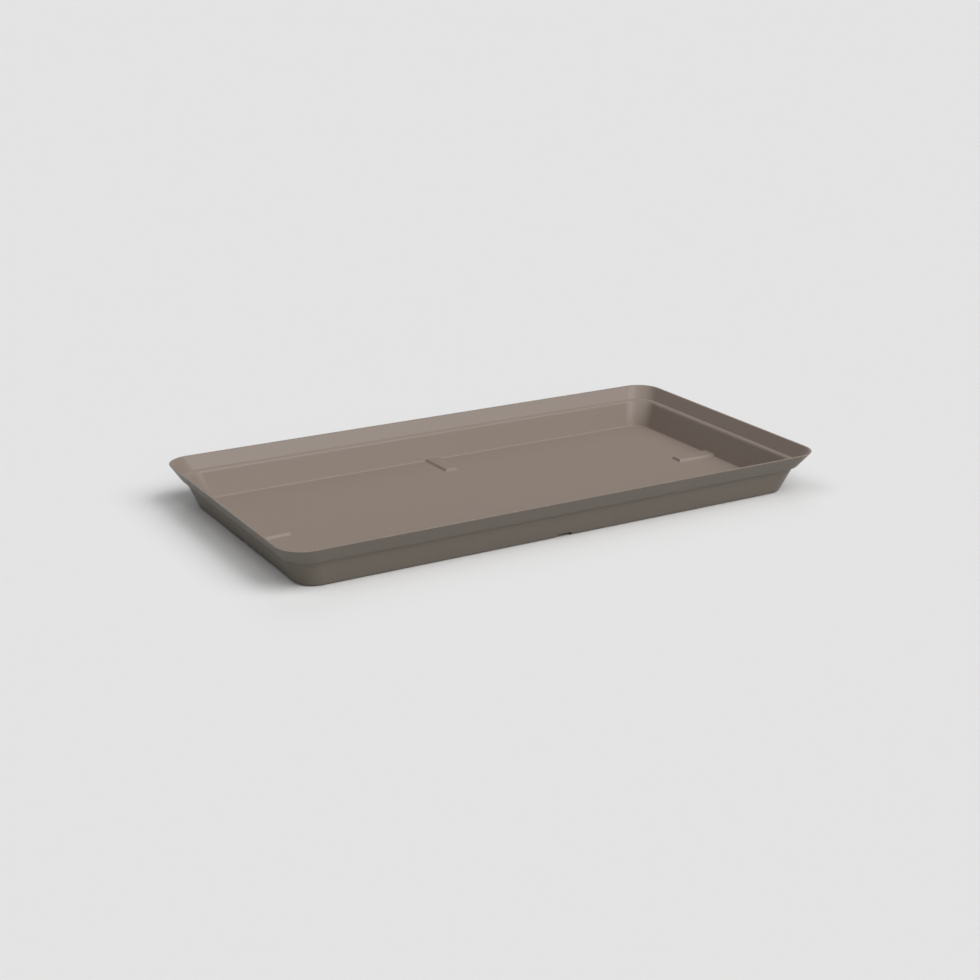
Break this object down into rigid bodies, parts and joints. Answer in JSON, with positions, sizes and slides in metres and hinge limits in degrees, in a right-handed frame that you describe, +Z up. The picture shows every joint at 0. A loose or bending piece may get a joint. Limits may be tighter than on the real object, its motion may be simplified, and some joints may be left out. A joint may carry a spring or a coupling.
{
  "type": "rectangular plant saucer",
  "caption": "Shallow rectangular plastic saucer with a stepped, flared wall and hollow raised pads, to stand under a plant trough.",
  "frame": {"origin": "middle of the underside, on the plane that the saucer stands on", "axes": "+X along the long sides, +Y along the short sides, +Z up"},
  "size_m": [0.52, 0.276, 0.0387],
  "materials": {
    "saucer_tray": "satin taupe, moulded"
  },
  "bodies": {
    "root": {"saucer_tray": "saucer_tray"}
  },
  "joints": []
}
